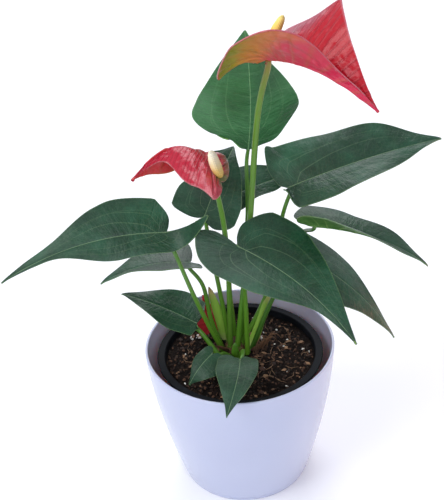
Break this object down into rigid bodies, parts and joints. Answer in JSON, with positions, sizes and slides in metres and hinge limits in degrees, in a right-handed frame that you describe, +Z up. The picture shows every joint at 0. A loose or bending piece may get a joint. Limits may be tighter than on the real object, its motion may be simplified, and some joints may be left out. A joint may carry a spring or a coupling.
{
  "type": "potted anthurium",
  "caption": "Flamingo flower plant with heart-shaped leaves and red spathes in a nursery pot, standing in a round tapered glossy white outer pot.",
  "frame": {"origin": "centre of the outer pot's flat underside", "axes": "+Z up along the pot's axis, -Y towards the side where the small front leaf hangs over the rim, +X to that side's right"},
  "size_m": [0.3088, 0.1573, 0.3736],
  "materials": {
    "white_plastic": "glossy moulded white with a faint lilac cast",
    "grey_plastic": "thin dark slate-grey moulded plastic, satin",
    "potting_mix": null,
    "crown_bark": "rough brown-green short stem",
    "leaf_green": "living leaf with a soft waxy sheen",
    "stalk_green": "living stalk, smooth satin yellow-green",
    "spathe_red": "living bract, lacquered gloss red going to olive",
    "spadix_yellow": "finely beaded yellow flower spike"
  },
  "bodies": {
    "root": {"cachepot": "white_plastic", "nursery_pot": "grey_plastic", "potting_mix": "potting_mix", "crown": "crown_bark", "leaf_back": "leaf_green", "petiole_back": "stalk_green", "leaf_right_high": "leaf_green", "petiole_right_high": "stalk_green", "leaf_right_middle": "leaf_green", "petiole_right_middle": "stalk_green", "leaf_front_large": "leaf_green", "petiole_front_large": "stalk_green", "leaf_right_low": "leaf_green", "petiole_right_low": "stalk_green", "leaf_left_large": "leaf_green", "petiole_left_large": "stalk_green", "leaf_left_middle": "leaf_green", "petiole_left_middle": "stalk_green", "leaf_left_low": "leaf_green", "petiole_left_low": "stalk_green", "leaf_front_left_small": "leaf_green", "petiole_front_left_small": "stalk_green", "leaf_front_small": "leaf_green", "petiole_front_small": "stalk_green", "leaf_back_left": "leaf_green", "petiole_back_left": "stalk_green", "leaf_back_centre": "leaf_green", "petiole_back_centre": "stalk_green", "spathe_high": "spathe_red", "peduncle_high": "stalk_green", "spathe_middle": "spathe_red", "peduncle_middle": "stalk_green", "spathe_low": "spathe_red", "peduncle_low": "stalk_green", "spadix_high": "spadix_yellow", "spadix_middle": "spadix_yellow", "sheath_pale": "stalk_green"}
  },
  "joints": []
}
